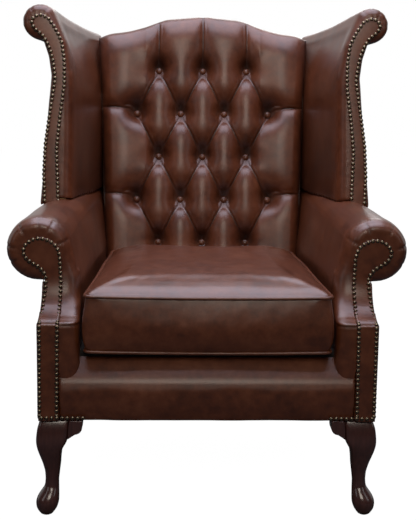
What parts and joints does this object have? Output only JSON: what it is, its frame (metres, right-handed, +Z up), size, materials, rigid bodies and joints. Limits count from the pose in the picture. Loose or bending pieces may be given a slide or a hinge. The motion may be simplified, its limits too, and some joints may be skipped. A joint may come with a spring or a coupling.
{
  "type": "wing chair",
  "caption": "High-backed wing armchair in antique brown leather with a deep-buttoned back, rolled arms, a loose seat cushion and cabriole front legs.",
  "frame": {"origin": "on the floor, under the centre of the chair's bounding box", "axes": "+Z up, the chair faces -Y, +X is the sitter's left"},
  "size_m": [0.8354, 0.8295, 1.045],
  "materials": {
    "leather": "gloss",
    "facing_leather": "gloss",
    "button_leather": "gloss",
    "piping_leather": "gloss",
    "mahogany": "gloss",
    "frame_wood": "matte",
    "webbing": "matte",
    "platform_cloth": "matte",
    "dust_cloth": "matte",
    "steel": "satin"
  },
  "bodies": {
    "chair": {"arm_board_left": "frame_wood", "arm_board_right": "frame_wood", "arm_facing_left": "facing_leather", "arm_facing_right": "facing_leather", "arm_pad_left": "leather", "arm_pad_right": "leather", "arm_slat_left": "frame_wood", "arm_slat_right": "frame_wood", "arm_stump_left": "frame_wood", "arm_stump_right": "frame_wood", "back_buttons": "button_leather", "back_pad": "leather", "back_post_left": "frame_wood", "back_post_right": "frame_wood", "back_seat_rail": "frame_wood", "back_tack_rail": "frame_wood", "back_webbing": "webbing", "corner_blocks": "frame_wood", "crest_rail": "frame_wood", "dust_cover": "dust_cloth", "foot_glides": "steel", "frame_dowels": "frame_wood", "front_border": "leather", "front_leg_left": "mahogany", "front_leg_right": "mahogany", "front_seat_rail": "frame_wood", "knee_brackets_left": "mahogany", "knee_brackets_right": "mahogany", "leg_bolts": "steel", "outside_arm_left": "leather", "outside_arm_right": "leather", "outside_back": "leather", "rear_leg_left": "mahogany", "rear_leg_right": "mahogany", "seat_platform": "platform_cloth", "seat_rail_left": "frame_wood", "seat_rail_right": "frame_wood", "seat_webbing": "webbing", "wing_board_left": "frame_wood", "wing_board_right": "frame_wood", "wing_facing_left": "facing_leather", "wing_facing_right": "facing_leather", "wing_pad_left": "leather", "wing_pad_right": "leather"},
    "seat_cushion": {"seat_cushion": "leather", "cushion_piping": "piping_leather"}
  },
  "joints": [
    {"name": "cushion_lift", "type": "slide", "parent": "chair", "child": "seat_cushion", "axis": [0, 0, 1], "range_m": [0, 0.3]}
  ]
}
